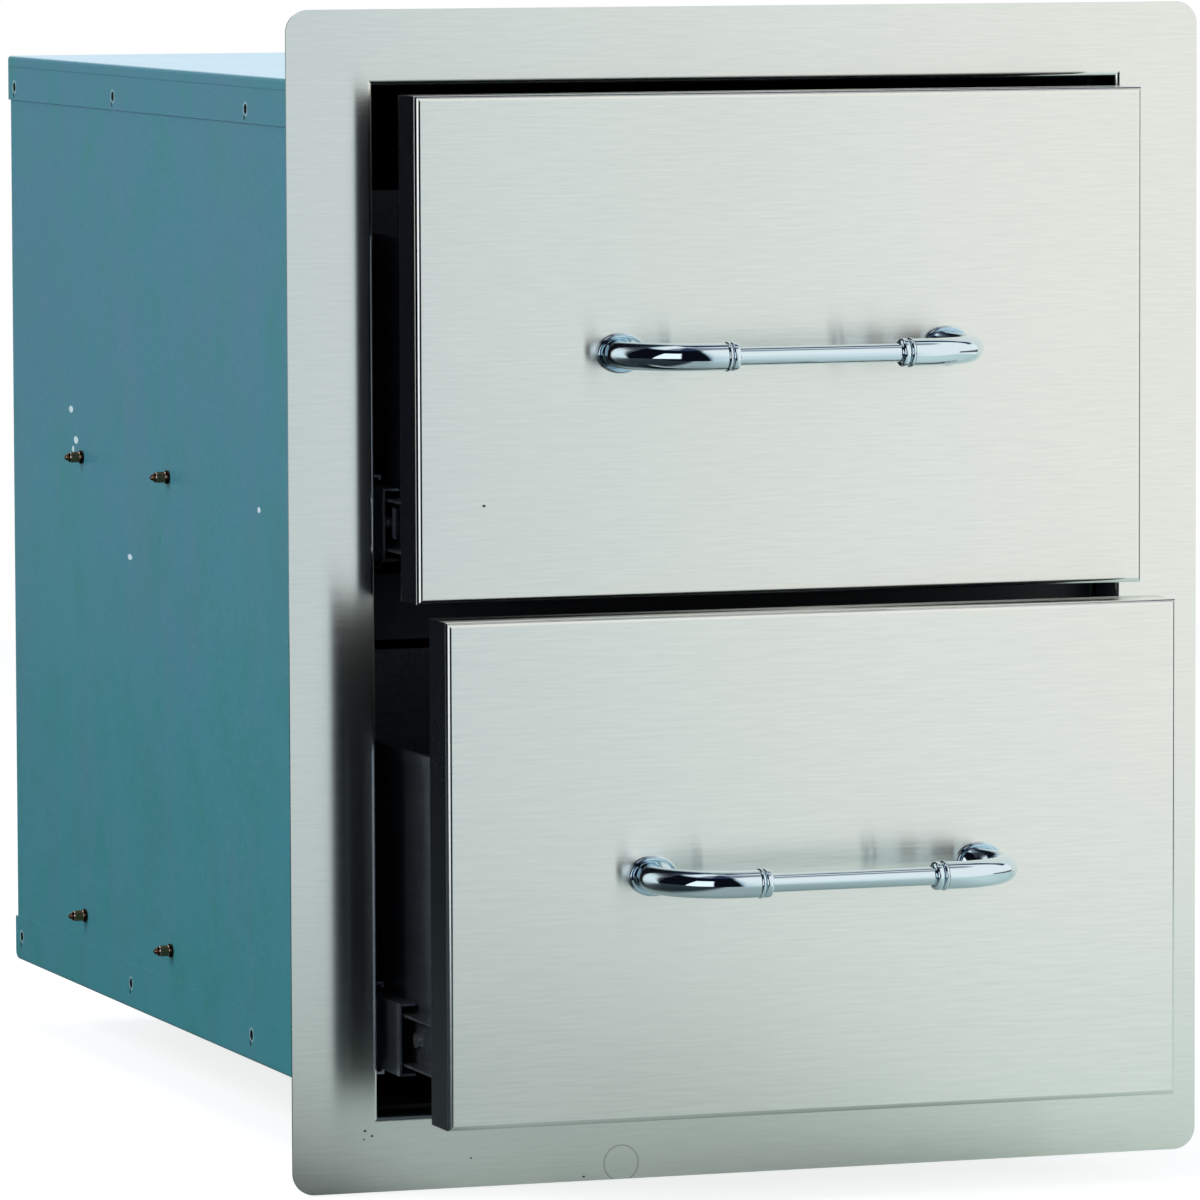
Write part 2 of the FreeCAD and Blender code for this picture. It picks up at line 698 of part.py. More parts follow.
def screw(name, diameter, length, head, head_height):
    """A round-headed screw along +X with the underside of its head at X = 0."""
    shank = primitive("Cylinder", f"{name}_shank", Radius=f"{diameter} / 2",
                      Height=f"{length} + {head_height} / 2")
    cap = primitive("Cylinder", f"{name}_head", Radius=f"{head} / 2", Height=head_height)
    for item, start in ((shank, f"-{head_height} / 2"), (cap, f"-{head_height}")):
        item.Placement = Placement(Vector(), Rotation(Vector(0, 1, 0), 90))
        bind(item, "Placement.Base.x", start)
    solid = joined(f"{name}_solid", [shank, cap])
    return less(name, solid, cross_recess(f"{name}_recess", f"-{head_height}"))


# Screws that hold the drawer members to the drawer box
def slide_screws(drawer, master):
    level = FRONT_BOTTOM[drawer]
    screws = []
    for side, sign in SIDES.items():
        seat = f"{sign} * ({PANEL_IN} - dims.slide_thickness + dims.slide_sheet)"
        for number, spot in enumerate(SCREW_PLACES):
            along = f"dims.slide_setback - {PULLS[drawer]} + {spot}"
            link = copy_of(master, f"{drawer}_{side}_slide_screw_{number}", seat, along,
                           f"{level} + dims.slide_height", turned=sign > 0)
            screws.append(link)
    return group(f"{drawer}_slide_screws", screws)


# Drawer pieces. Each is drawn with the closed front's face at Y = 0 and its bottom edge at Z = 0.
def stand_drawer(item, drawer, across="0", along="0", up="0", turned=False):
    return place(item, across, f"{along} - dims.frame_sheet - {PULLS[drawer]}",
                 f"{up} + {FRONT_BOTTOM[drawer]}", turned)


def drawer_front(drawer):
    label = f"{drawer}_front_pan"
    body = new_body(label)
    outline = sketch_on(body, f"{label}_outline", "XZ_Plane")
    rectangle(outline, "-dims.front_width / 2", "dims.front_width / 2", "0", "dims.front_height")
    block = pad(body, outline, "dims.front_depth", reverse=True)
    rounded = round_edges(body, block, lambda box: near(box.YMin, 0) and near(box.YLength, 0),
                          "dims.front_bend")
    rear = value("dims.front_depth")
    hollow(body, rounded, lambda box: near(box.YMin, rear) and near(box.YLength, 0),
           "dims.front_sheet")
    holes = sketch_on(body, f"{label}_holes", "XZ_Plane")
    for sign in SIDES.values():
        circle(holes, f"{sign} * dims.handle_spacing / 2", HANDLE_Z,
               "dims.handle_screw_diameter + 2 * dims.handle_screw_play")
    punch(body, holes)
    stand_drawer(body, drawer)
    return keep(body, label)


def front_liner(drawer):
    """The sheet that closes the back of the hollow front."""
    label = f"{drawer}_front_liner"
    margin = "(dims.front_sheet + dims.liner_play)"
    sheet = primitive("Box", label, Length=f"dims.front_width - 2 * {margin}",
                      Width="dims.liner_sheet", Height=f"dims.front_height - 2 * {margin}")
    stand_drawer(sheet, drawer, f"{margin} - dims.front_width / 2",
                 f"{FRONT_BACK} - dims.liner_sheet", margin)
    return keep(sheet, label)


def box_tray(drawer):
    """Bottom and both sides of the box, folded from one sheet with hems along the top."""
    label = f"{drawer}_box_tray"
    body = new_body(label)
    sheet = "dims.box_sheet"
    low, top = "dims.box_bottom", "(dims.box_bottom + dims.box_height)"
    inner = f"({BOX_HALF} - {sheet})"
    lapped = f"({BOX_HALF} + {sheet})"
    right = [(BOX_HALF, low), (BOX_HALF, f"{top} - dims.box_hem"), (lapped, f"{top} - dims.box_hem"),
             (lapped, top), (inner, top), (inner, f"{low} + {sheet}")]
    left = [(f"-{across}", up) for across, up in reversed(right)]
    section = sketch_on(body, f"{label}_section", "XZ_Plane", f"-{FRONT_BACK}")
    polygon(section, right + left)
    folded = pad(body, section, "dims.box_depth", reverse=True)
    half, hem, level = value(BOX_HALF), value(lapped), value(low)
    bends = round_edges(
        body, folded, lambda box: box.YLength > 1 and near(abs(box.XMin), half)
        and near(box.ZMin, level) and near(box.ZLength, 0) and near(box.XLength, 0),
        "dims.box_bend")
    crest = value(top)
    round_edges(
        body, bends, lambda box: box.YLength > 1 and near(abs(box.XMin), hem)
        and near(box.ZMin, crest) and near(box.XLength, 0), "dims.box_bend")
    holes = sketch_on(body, f"{label}_holes", "YZ_Plane")
    for spot in SCREW_PLACES:
        circle(holes, f"dims.slide_setback + dims.frame_sheet + {spot}", "dims.slide_height",
               "dims.slide_screw_diameter + 2 * dims.slide_screw_play")
    punch(body, holes)
    stand_drawer(body, drawer)
    return keep(body, label)


def box_wall(drawer, end):
    """Front or rear wall of the box, standing on the bottom between the sides."""
    label = f"{drawer}_box_{end}"
    sheet = "dims.box_sheet"
    wall = primitive("Box", label, Length=f"2 * ({BOX_HALF} - {sheet})", Width=sheet,
                     Height=f"dims.box_height - {sheet}")
    along = FRONT_BACK if end == "front" else f"{FRONT_BACK} + dims.box_depth - {sheet}"
    stand_drawer(wall, drawer, f"{sheet} - {BOX_HALF}", along, f"dims.box_bottom + {sheet}")
    return keep(wall, label)


def handle_post(drawer, side, sign):
    """A bent end casting: oval rosette, tube turning in towards the bar, and a bore for it."""
    label = f"{drawer}_{side}_handle_post"
    body = new_body(label)
    oval = sketch_on(body, f"{label}_oval", "XZ_Plane")
    long_half, short_half = value("dims.rosette_length / 2"), value("dims.rosette_height / 2")
    centre = Vector(value("dims.rosette_offset"), 0, 0)
    ring = oval.addGeometry(Part.Ellipse(centre, long_half, short_half))
    oval.exposeInternalGeometry(ring)
    oval.addConstraint(Sketcher.Constraint("PointOnObject", ring, 3, -1))
    pin(oval, "DistanceX", ring, 3, "dims.rosette_offset")
    long_axis, short_axis = ring + 1, ring + 2
    oval.addConstraint(Sketcher.Constraint("Horizontal", long_axis))
    for axis, formula in ((long_axis, "dims.rosette_length"), (short_axis, "dims.rosette_height")):
        rule = oval.addConstraint(Sketcher.Constraint("Distance", axis, value(formula)))
        bind(oval, f"Constraints[{rule}]", formula)
    rosette = pad(body, oval, "dims.rosette_thickness")
    face = -value("dims.rosette_thickness")
    round_edges(body, rosette, lambda box: near(box.YMin, face) and near(box.YLength, 0),
                "dims.rosette_edge")
    path = sketch_on(body, f"{label}_path", "XY_Plane")
    straight = value("dims.handle_stand_off - dims.handle_bend")
    bend = value("dims.handle_bend")
    end = value("dims.handle_spacing / 2 - dims.post_end")
    out = path.addGeometry(Part.LineSegment(Vector(0, 0, 0), Vector(0, -straight, 0)))
    corner = path.addGeometry(Part.ArcOfCircle(
        Part.Circle(Vector(bend, -straight, 0), Vector(0, 0, 1), bend), math.pi, 1.5 * math.pi))
    along = path.addGeometry(
        Part.LineSegment(Vector(bend, -straight - bend, 0), Vector(end, -straight - bend, 0)))
    path.addConstraint(Sketcher.Constraint("Coincident", out, 1, -1, 1))
    path.addConstraint(Sketcher.Constraint("Vertical", out))
    path.addConstraint(Sketcher.Constraint("Tangent", out, 2, corner, 1))
    path.addConstraint(Sketcher.Constraint("Tangent", corner, 2, along, 1))
    path.addConstraint(Sketcher.Constraint("Horizontal", along))
    rule = path.addConstraint(Sketcher.Constraint("Radius", corner, bend))
    bind(path, f"Constraints[{rule}]", "dims.handle_bend")
    pin(path, "DistanceY", along, 2, "-dims.handle_stand_off")
    pin(path, "DistanceX", along, 2, "dims.handle_spacing / 2 - dims.post_end")
    ring = sketch_on(body, f"{label}_ring", "XZ_Plane")
    circle(ring, "0", "0", "dims.post_diameter")
    pipe = body.newObject("PartDesign::AdditivePipe", f"{label}_pipe")
    pipe.Profile = ring
    pipe.Spine = (path, ["Edge1", "Edge2", "Edge3"])
    doc.recompute()
    bore = sketch_on(body, f"{label}_bore", "YZ_Plane", "dims.handle_spacing / 2 - dims.post_end")
    circle(bore, "-dims.handle_stand_off", "0", "dims.bar_diameter + 2 * dims.bar_play")
    pocket(body, bore, "dims.bar_insertion")
    thread = sketch_on(body, f"{label}_thread", "XZ_Plane")
    circle(thread, "0", "0", "dims.handle_screw_diameter + 2 * dims.handle_screw_play")
    pocket(body, thread, "dims.handle_screw_grip", reverse=True)
    stand_drawer(body, drawer, f"{sign} * dims.handle_spacing / 2", "0", HANDLE_Z, turned=sign > 0)
    return keep(body, label)


def handle_bar(drawer):
    label = f"{drawer}_handle_bar"
    half = "(dims.post_end + dims.bar_insertion - 4 * dims.bar_play)"
    bar = primitive("Cylinder", label, Radius="dims.bar_diameter / 2", Height=f"2 * {half}")
    stand_drawer(bar, drawer, f"-{half}", "-dims.handle_stand_off", HANDLE_Z)
    bar.Placement = Placement(bar.Placement.Base, Rotation(Vector(0, 1, 0), 90))
    return keep(bar, label)


def collar_master():
    """A ring with a bead at the post's end and a waist towards the bar, along +X."""
    body = new_body("collar")
    profile = sketch_on(body, "collar_profile", "XY_Plane")
    bore = "(dims.bar_diameter / 2 + dims.bar_play)"
    rim, waist = "dims.collar_diameter / 2", "dims.collar_waist / 2"
    ring, chamfer = "dims.collar_ring_diameter / 2", "dims.collar_chamfer"
    bead, length = "dims.collar_bead", "dims.collar_length"
    polygon(profile, (
        ("0", bore), ("0", f"{rim} - {chamfer}"), (chamfer, rim), (f"{bead} - {chamfer}", rim),
        (bead, f"{rim} - {chamfer}"), (bead, waist), (f"{length} - dims.collar_ring", waist),
        (f"{length} - dims.collar_ring", ring), (f"{length} - {chamfer}", ring),
        (length, f"{ring} - {chamfer}"), (length, bore)))
    turned = body.newObject("PartDesign::Revolution", "collar_turned")
    turned.Profile = profile
    turned.ReferenceAxis = (profile, ["H_Axis"])
    turned.Angle = 360
    doc.recompute()
    return body


def handle_collars(drawer, master):
    links = []
    for side, sign in SIDES.items():
        link = doc.addObject("App::Link", f"{drawer}_{side}_collar")
        link.LinkedObject = master
        across = f"{sign} * dims.post_end"
        links.append(stand_drawer(link, drawer, across, "-dims.handle_stand_off", HANDLE_Z, sign > 0))
    return group(f"{drawer}_handle_collars", links)


def handle_screws(drawer, master):
    links = []
    for side, sign in SIDES.items():
        link = doc.addObject("App::Link", f"{drawer}_{side}_handle_screw")
        link.LinkedObject = master
        stand_drawer(link, drawer, f"{sign} * dims.handle_spacing / 2", "dims.front_sheet", HANDLE_Z)
        link.Placement = Placement(link.Placement.Base, Rotation(Vector(0, 0, 1), -90))
        links.append(link)
    return group(f"{drawer}_handle_screws", links)


face_frame()
for side_name, direction in SIDES.items():
    side_panel(side_name, direction)
cover("top_cover", True, "dims.top_bend", "dims.top_weld_inset", "dims.weld_middle_top")
cover("bottom_pan", False, "dims.pan_rear_bend", "dims.bottom_weld_inset", "dims.weld_middle_bottom")
back_panel()
centre_rail()
plug_welds()
slide_bumpers()
slide_rivets()

slide_screw = screw("slide_screw", "dims.slide_screw_diameter", "dims.slide_screw_length",
                    "dims.slide_screw_head", "dims.slide_screw_head_height")
handle_screw = screw("handle_screw", "dims.handle_screw_diameter",
                     "(dims.handle_screw_grip + dims.front_sheet - dims.handle_screw_end_play)",
                     "dims.handle_screw_head", "dims.handle_screw_head_height")
collar_ring = collar_master()

for drawer_name in PULLS:
    for side_name, direction in SIDES.items():
        cabinet_member(drawer_name, side_name)
        middle_member(drawer_name, side_name)
        drawer_member(drawer_name, side_name)
        ball_cage(drawer_name, side_name, "outer", "dims.cabinet_member_height",
                  "dims.middle_member_height", "dims.middle_member_start")
        ball_cage(drawer_name, side_name, "inner", "dims.middle_member_height",
                  "dims.drawer_member_height",
                  "(dims.middle_member_start + dims.middle_flange - dims.cage_width)")
        handle_post(drawer_name, side_name, direction)
    drawer_front(drawer_name)
    front_liner(drawer_name)
    box_tray(drawer_name)
    box_wall(drawer_name, "front")
    box_wall(drawer_name, "rear")
    handle_bar(drawer_name)
    handle_collars(drawer_name, collar_ring)
    handle_screws(drawer_name, handle_screw)
    slide_screws(drawer_name, slide_screw)
doc.recompute()

for item in doc.Objects:
    if "Invalid" in item.State or "Error" in item.State:
        raise RuntimeError(f"{item.Name} failed: {item.State}")
for label, node in nodes.items():
    if node.Shape.isNull() or not node.Shape.isValid() or not node.Shape.Solids:
        raise RuntimeError(f"{label} has no sound solid")

os.makedirs("parts", exist_ok=True)
for label, node in nodes.items():
    node.Shape.exportStep(f"parts/{label}.step")
print(len(nodes), "nodes written")
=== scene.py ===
# %% [markdown]
# Outdoor kitchen drawer unit. A steel face frame sits on the front of a cabinet, a painted
# sheet housing hides behind it, and two drawers with brushed fronts run on ball bearing
# slides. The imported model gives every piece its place. This script gives the pieces their
# finish, adds the small forms that a polished part needs, and sets up the studio.

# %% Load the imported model
import math

import bmesh
import bpy
from mathutils import Matrix, Vector


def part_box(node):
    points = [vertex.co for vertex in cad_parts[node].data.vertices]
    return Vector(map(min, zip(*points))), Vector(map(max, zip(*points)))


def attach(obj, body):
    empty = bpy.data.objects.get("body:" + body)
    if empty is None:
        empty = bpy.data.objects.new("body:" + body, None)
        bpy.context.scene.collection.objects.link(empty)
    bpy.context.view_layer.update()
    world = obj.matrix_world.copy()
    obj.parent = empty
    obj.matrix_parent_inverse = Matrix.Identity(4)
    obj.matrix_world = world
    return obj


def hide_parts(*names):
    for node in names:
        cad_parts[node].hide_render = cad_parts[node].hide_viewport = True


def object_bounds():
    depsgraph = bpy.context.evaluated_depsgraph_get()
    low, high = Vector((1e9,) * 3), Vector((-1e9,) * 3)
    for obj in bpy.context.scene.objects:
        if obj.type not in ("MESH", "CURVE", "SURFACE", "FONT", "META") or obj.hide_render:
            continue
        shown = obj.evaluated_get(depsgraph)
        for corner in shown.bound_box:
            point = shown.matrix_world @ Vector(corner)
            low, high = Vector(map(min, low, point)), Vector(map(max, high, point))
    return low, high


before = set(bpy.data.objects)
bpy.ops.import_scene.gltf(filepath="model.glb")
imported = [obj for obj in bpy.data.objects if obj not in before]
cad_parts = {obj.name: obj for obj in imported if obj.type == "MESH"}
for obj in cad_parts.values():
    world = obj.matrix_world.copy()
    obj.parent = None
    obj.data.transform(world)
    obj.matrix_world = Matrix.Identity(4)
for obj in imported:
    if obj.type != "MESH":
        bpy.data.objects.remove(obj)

CAD_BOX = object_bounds()
MM = 0.001

# %% [markdown]
# The camera. A long lens from a good way off keeps the unit's upright edges parallel. Its
# place and turn were fitted to the straight edges of the face frame, the fronts and the
# housing, so they are numbers in metres and degrees. The focal length is counted in pixels
# of the picture, and the sensor's width turns it into millimetres.

# %% Camera
PICTURE_PX = 1200
SENSOR_WIDTH = 36
FOCAL_PX = 9056.93
CAMERA_PLACE = Vector((-1.49690, -4.14289, 0.36735))
CAMERA_YAW = math.radians(-18.9169)
CAMERA_PITCH = math.radians(-4.8174)
CAMERA_ROLL = math.radians(-0.2055)


def add_camera():
    data = bpy.data.cameras.new("studio_camera")
    data.sensor_width = SENSOR_WIDTH
    data.lens = SENSOR_WIDTH * FOCAL_PX / PICTURE_PX
    data.clip_end = 100
    camera = bpy.data.objects.new("studio_camera", data)
    bpy.context.scene.collection.objects.link(camera)
    turn = Matrix.Rotation(CAMERA_YAW, 4, "Z") @ Matrix.Rotation(math.pi / 2 + CAMERA_PITCH, 4, "X")
    camera.matrix_world = (Matrix.Translation(CAMERA_PLACE) @ turn
                           @ Matrix.Rotation(CAMERA_ROLL, 4, "Z"))
    bpy.context.scene.camera = camera
    return data.lens


bpy.context.scene.view_settings.view_transform = "Standard"
print("lens in mm", round(add_camera(), 2))

# %% [markdown]
# Node trees are easier to read as sums than as lists of links. Wire wraps one socket and
# turns Python's operators into Math nodes. Nodes holds a tree, and its add method makes any
# other node: the settings first, and then the values or wires of its sockets.

# %% Shader maths
class Wire:
    """One output socket. Sums with it add Math nodes to its tree."""

    def __init__(self, nodes, socket):
        self.nodes, self.socket = nodes, socket

    def maths(self, operation, *terms):
        return self.nodes.add("Math", {"operation": operation}, dict(enumerate(terms)))

    def __add__(self, other):
        return self.maths("ADD", self, other)

    def __radd__(self, other):
        return self.maths("ADD", other, self)

    def __sub__(self, other):
        return self.maths("SUBTRACT", self, other)

    def __rsub__(self, other):
        return self.maths("SUBTRACT", other, self)

    def __mul__(self, other):
        return self.maths("MULTIPLY", self, other)

    def __rmul__(self, other):
        return self.maths("MULTIPLY", other, self)

    def __truediv__(self, other):
        return self.maths("DIVIDE", self, other)

    def __gt__(self, other):
        return self.maths("GREATER_THAN", self, other)

    def __lt__(self, other):
        return self.maths("LESS_THAN", self, other)

    def __abs__(self):
        return self.maths("ABSOLUTE", self)

    def either(self, other):
        return self.maths("MAXIMUM", self, other)

    def ease(self, low, high):
        """0 below low, 1 above high, and a soft step between. Low may be the larger one."""
        if low > high:
            return 1 - self.ease(high, low)
        settings = {"interpolation_type": "SMOOTHSTEP"}
        return self.nodes.add("MapRange", settings, {"Value": self, "From Min": low, "From Max": high})


class Nodes:
    """A node tree that is built by calls."""

    def __init__(self, tree):
        self.tree = tree

    def add(self, kind, settings=None, sockets=None, result=0):
        """Add one node. Settings come first, then its sockets, and one output comes back."""
        node = self.tree.nodes.new("ShaderNode" + kind)
        for label, setting in (settings or {}).items():
            setattr(node, label, setting)
        for label, value in (sockets or {}).items():
            self.feed(node.inputs[label], value)
        return Wire(self, node.outputs[result])

    def feed(self, socket, value):
        if isinstance(value, Wire):
            self.tree.links.new(value.socket, socket)
        else:
            socket.default_value = value

    def mixed(self, mask, low, high):
        """A colour that goes from low to high as the mask goes from 0 to 1."""
        return self.add("Mix", {"data_type": "RGBA"}, {0: mask, 6: low, 7: high}, result=2)

    def noise(self, place, scale, detail=2.0, roughness=0.5):
        sockets = {"Vector": place, "Scale": scale, "Detail": detail, "Roughness": roughness}
        return self.add("TexNoise", None, sockets)

    def split(self, vector):
        return [self.add("SeparateXYZ", None, {0: vector}, result=axis) for axis in range(3)]

    def join(self, x, y, z):
        return self.add("CombineXYZ", None, {0: x, 1: y, 2: z})


def srgb(red, green, blue):
    """A colour read off a screen, 0 to 255, as the linear values that shaders use."""
    def linear(level):
        share = level / 255
        return share / 12.92 if share <= 0.04045 else ((share + 0.055) / 1.055) ** 2.4
    return (linear(red), linear(green), linear(blue), 1.0)


print("mid grey is", round(srgb(128, 128, 128)[0], 3), "in linear light")

# %% [markdown]
# A finish starts as a Principled shader whose fixed values are set on its own sockets. What
# changes over the surface is fed in afterwards. Every pattern reads Object coordinates,
# which are metres in the unit's own frame, because each piece's object sits at the origin.

# %% Finishes start here
class Finish(Nodes):
    """A material with its Principled shader, for one of the record's material slots."""

    def __init__(self, slot, **fixed):
        self.slot = slot
        self.material = bpy.data.materials.new(f"{slot}_finish")
        self.material.use_nodes = True
        super().__init__(self.material.node_tree)
        self.shader = self.tree.nodes["Principled BSDF"]
        for label, value in fixed.items():
            self.shader.inputs[label.replace("_", " ")].default_value = value
        self.place = self.add("TexCoord", result="Object")
        self.x, self.y, self.z = self.split(self.place)

    def set(self, label, value):
        self.feed(self.shader.inputs[label], value)

    def bump(self, height, distance):
        """Height is a pattern without a unit, and distance is how many metres its 1 stands for."""
        self.set("Normal", self.add("Bump", None, {"Height": height, "Distance": distance}))

    def distance(self, first, second, reach, height):
        """How far from a point on two axes, in millimetres, as a share of an oval's two radii."""
        shares = []
        for (axis, centre), radius in ((first, reach), (second, height)):
            along = (self.x, self.y, self.z)["xyz".index(axis)]
            share = (along - centre * MM) / (radius * MM)
            shares.append(share * share)
        total = shares[0] + shares[1]
        return total.maths("SQRT", total)

    def spot(self, first, second, reach, height, ragged=0.35):
        """1 inside a ragged oval mark and 0 outside."""
        wobble = self.noise(self.place, 900.0, 1.0) - 0.5
        return (self.distance(first, second, reach, height) + wobble * ragged).ease(1.1, 0.8)

    def facing(self, axis):
        """How squarely the surface faces along an axis, from 0 to 1."""
        normal = self.add("NewGeometry", result="Normal")
        return abs(self.split(normal)["xyz".index(axis)])


def paint(material, *names):
    """Give CAD nodes a finish by their names."""
    for name in names:
        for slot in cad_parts[name].material_slots:
            slot.material = material


DRAWERS = ("upper", "lower")
SIDES = ("left", "right")
print("drawers", *DRAWERS, "and sides", *SIDES)

# %% [markdown]
# The studio. The background is white for the camera, and metal sees a white room too,
# through Light Path. Polished parts need something dark as well, or they turn into white
# holes. In a real studio that is the unlit side of the room, with one window of light in
# it. The same thing is drawn here from the direction of a ray: azimuth counts from straight
# in front of the unit, positive to its right, and elevation from the horizon, in degrees.
# A patch is a soft-edged rectangle of that sky: two azimuths, two elevations and the width
# of its edge. A single edge is a pair: where it begins and where it is complete. A picture
# of a real room could stand here instead, but drawn patches can be moved one by one.

# %% Patches of the room
WHITE_ROOM = (1.0, 1.0, 0.97, 1.0)
COOL_EDGE = (0.50, 0.62, 0.68, 1.0)
DARK_SIDE = srgb(12, 14, 22)
NAVY = srgb(38, 54, 88)
REAR_LIGHT = (0.96, 1.14, 1.28, 1.0)
GREY_SIDE = (0.20, 0.26, 0.30, 1.0)
WINDOW_LIGHT = (1.15, 1.2, 1.25, 1.0)
EDGE_PATCH = ((-150, 24), (-95, 72), 12)
DARK_PATCH = ((-146, 15), (-95, 64), 6)
DARK_LEAN = 0.15
DEEP_PATCH = ((-40, 13), (40, 100), 8)
FLAG_PATCH = ((66, 118), (-11, 1), 4)
SKY_PATCH = ((-75, 80), (52, 100), 12)
HIGH_PATCH = ((98, 178), (22, 87), 6)
REAR_SIDE, REAR_TOP = (120, 140), (24, 12)
GREY_START, GREY_TOP = (-141, -150), (62, 40)
WINDOW_PATCH = ((-67, 60), (-10, 34), 2)
WINDOW_LEAN = 0.35
WINDOW_END = (-26, -29)


def patch(azimuth, elevation, sides, heights, soft):
    left, right = sides
    low, high = heights
    across = azimuth.ease(left, left + soft) * azimuth.ease(right, right - soft)
    upright = elevation.ease(low, low + soft) * elevation.ease(high, high - soft)
    return across * upright


print("the window spans", WINDOW_PATCH[1], "degrees of elevation")

# %% [markdown]
# The room is painted in layers, each over the last, and each is there because the chrome or
# the steel shows it. The dark side lies to the left, leans a little and has a cool fringe. A
# dark stretch stands high in front, and a low dark flag stands to the right. The room is
# navy overhead, and also high behind on the right. Behind the unit it is a pale blue low on
# the right and grey on the left. The window comes last, over the dark side: its left edge
# slants and its right edge is cut upright.

# %% Layers of the room
def paint_room(nodes, azimuth, elevation):
    leaning = azimuth + elevation * DARK_LEAN
    slanting = azimuth - elevation * WINDOW_LEAN
    rear = azimuth.ease(*REAR_SIDE) * elevation.ease(*REAR_TOP)
    grey = azimuth.ease(*GREY_START) * elevation.ease(*GREY_TOP)
    window = patch(slanting, elevation, *WINDOW_PATCH) * azimuth.ease(*WINDOW_END)
    layers = (
        (patch(leaning, elevation, *EDGE_PATCH), COOL_EDGE),
        (patch(leaning, elevation, *DARK_PATCH), DARK_SIDE),
        (patch(azimuth, elevation, *DEEP_PATCH) * 0.9, DARK_SIDE),
        (patch(azimuth, elevation, *FLAG_PATCH) * 0.9, DARK_SIDE),
        (patch(azimuth, elevation, *SKY_PATCH) * 0.75, NAVY),
        (patch(azimuth, elevation, *HIGH_PATCH), NAVY),
        (rear, REAR_LIGHT),
        (grey, GREY_SIDE),
        (window, WINDOW_LIGHT),
    )
    room = WHITE_ROOM
    for mask, colour in layers:
        room = nodes.mixed(mask, room, colour)
    print("layers of the room", len(layers))
    return room


# %% [markdown]
# The world puts it together. The camera sees plain white, reflections see the room, and
# everything else gets a faint cool light from all round, which fills the shadows.

# %% World
AMBIENT = (0.80, 0.90, 1.0)
AMBIENT_STRENGTH = 0.32
WHITE = (1.0, 1.0, 1.0, 1.0)


def build_world():
    world = bpy.data.worlds.new("studio")
    bpy.context.scene.world = world
    world.use_nodes = True
    nodes = Nodes(world.node_tree)
    x, y, z = nodes.split(nodes.add("TexCoord", result="Generated"))
    degree = math.degrees(1)
    azimuth = x.maths("ARCTAN2", x, 0 - y) * degree
    elevation = z.maths("ARCSINE", z) * degree
    room = paint_room(nodes, azimuth, elevation)
    glossy = nodes.add("LightPath", result="Is Glossy Ray")
    clear = nodes.add("LightPath", result="Is Transmission Ray")
    seen = nodes.add("LightPath", result="Is Camera Ray")
    ambient = tuple(level * AMBIENT_STRENGTH for level in AMBIENT) + (1.0,)
    light = nodes.mixed(glossy.either(clear), ambient, room)
    light = nodes.mixed(seen, light, WHITE)
    nodes.feed(world.node_tree.nodes["Background"].inputs["Color"], light)


build_world()

# %% [markdown]
# Lamps. Three large soft lamps bring out the form: one high on the right in front, one on
# the left for the painted side, and one overhead. They stay out of the reflections, which
# the room draws, so that the chrome shows one clean window.

# %% Lamps
LAMP_TARGET = Vector((0, 0.2, 0))
LAMPS = {
    "front_lamp": ((1.6, -2.6, 1.5), 1.8, 34),
    "side_lamp": ((-2.6, 0.2, 1.3), 1.8, 60),
    "top_lamp": ((0.0, 0.4, 2.4), 1.6, 20),
}


def add_lamp(name, place, size, power):
    data = bpy.data.lights.new(name, "AREA")
    data.shape = "SQUARE"
    data.size = size
    data.energy = power
    lamp = bpy.data.objects.new(name, data)
    bpy.context.scene.collection.objects.link(lamp)
    turn = (LAMP_TARGET - Vector(place)).to_track_quat("-Z", "Y")
    lamp.matrix_world = Matrix.Translation(place) @ turn.to_matrix().to_4x4()
    lamp.visible_glossy = False
    lamp.visible_camera = False


for lamp_name, (lamp_place, lamp_size, lamp_power) in LAMPS.items():
    add_lamp(lamp_name, lamp_place, lamp_size, lamp_power)
print("lamps", len(LAMPS))

# %% [markdown]
# The floor is a plain pale sheet under the frame's lower edge. A little of its own light,
# for the camera and for reflections only, lifts it to white and leaves the soft shadow.
# In reflections it is greenish, and its left part is darker in two steps, because the unit's
# own shadow falls there. A step is two places along X and its share of the light.

# %% Floor
FLOOR_LOW = (-2.4, -0.8)
FLOOR_HIGH = (1.4, 3.0)
FLOOR_DROP = 0.5
FLOOR_BASE = (0.34, 0.35, 0.36, 1.0)
FLOOR_SHADE = (0.018, 0.026, 0.03, 1.0)
FLOOR_TINT = (0.84, 1.06, 0.96, 1.0)
FLOOR_LIFT = 0.8
GLOSSY_SHARE = 0.54
LIT_STEPS = ((-0.24, -0.13, 0.54), (0.02, 0.26, 0.46))
BLACK = (0.0, 0.0, 0.0, 1.0)


